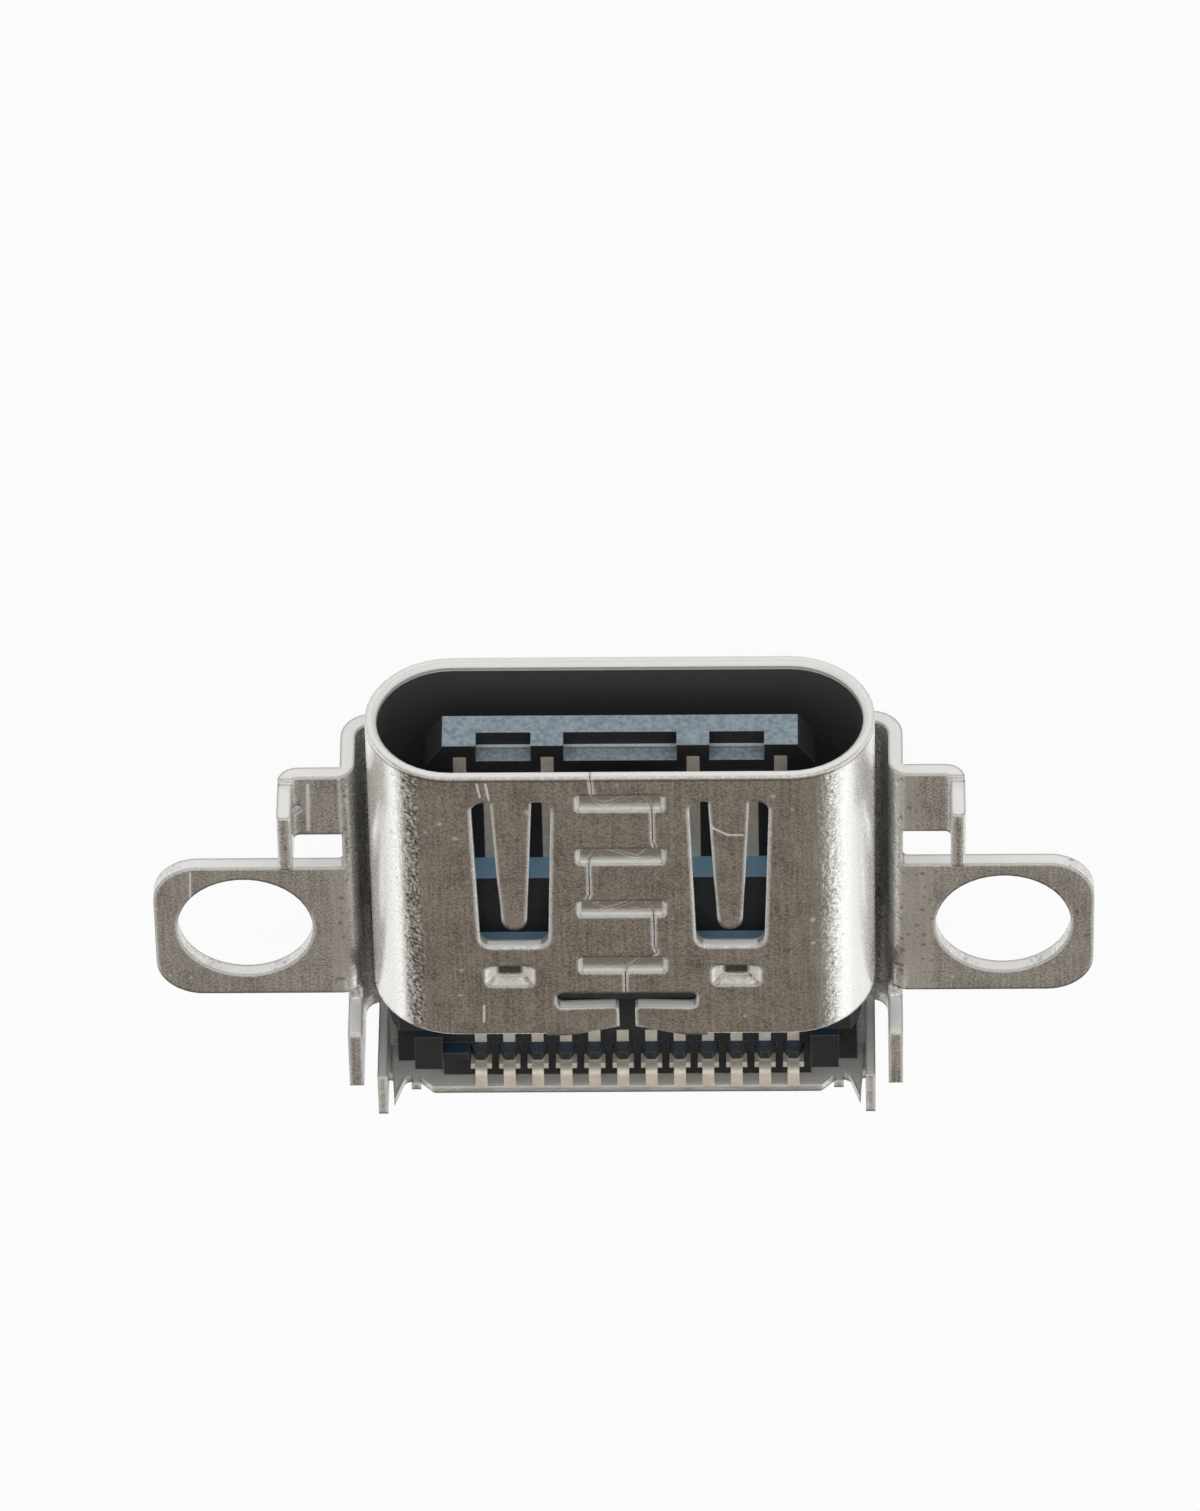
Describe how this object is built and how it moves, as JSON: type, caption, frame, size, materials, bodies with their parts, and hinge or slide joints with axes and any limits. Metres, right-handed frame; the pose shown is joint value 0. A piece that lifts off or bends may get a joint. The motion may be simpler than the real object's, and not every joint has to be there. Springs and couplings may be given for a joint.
{
  "type": "charging port",
  "caption": "Board-sunk charging port with an oval metal mouth, a contact tongue, spring fingers, screw ears, solder legs and a row of solder tails.",
  "frame": {"origin": "bottom centre of the whole part's box, under the flat back of the bracket on which it lies", "axes": "+X across the port along the line of the two screw ears, +Y from the mouth to the solder tails, +Z out of the seamed face of the shell"},
  "size_m": [0.0164, 0.0096, 0.0032],
  "materials": {
    "plated_steel": "satin nickel plating with fine rolling marks",
    "bracket_steel": "satin nickel plating",
    "shield_steel": "thin plated sheet, satin",
    "plate_steel": "bare stamped steel",
    "black_plastic": "matte moulded plastic",
    "insert_plastic": "matte moulded plastic",
    "contact_gold": "thin gold plating over copper alloy"
  },
  "bodies": {
    "root": {"shell": "plated_steel", "bracket": "bracket_steel", "rear_shield": "shield_steel", "housing": "black_plastic", "near_insert": "insert_plastic", "far_insert": "insert_plastic", "mid_plate": "plate_steel", "near_contact_01": "contact_gold", "far_contact_01": "contact_gold", "near_contact_02": "contact_gold", "far_contact_02": "contact_gold", "near_contact_03": "contact_gold", "far_contact_03": "contact_gold", "near_contact_04": "contact_gold", "far_contact_04": "contact_gold", "near_contact_05": "contact_gold", "far_contact_05": "contact_gold", "near_contact_06": "contact_gold", "far_contact_06": "contact_gold", "near_contact_07": "contact_gold", "far_contact_07": "contact_gold", "near_contact_08": "contact_gold", "far_contact_08": "contact_gold", "near_contact_09": "contact_gold", "far_contact_09": "contact_gold", "near_contact_10": "contact_gold", "far_contact_10": "contact_gold", "near_contact_11": "contact_gold", "far_contact_11": "contact_gold", "near_contact_12": "contact_gold", "far_contact_12": "contact_gold"}
  },
  "joints": []
}
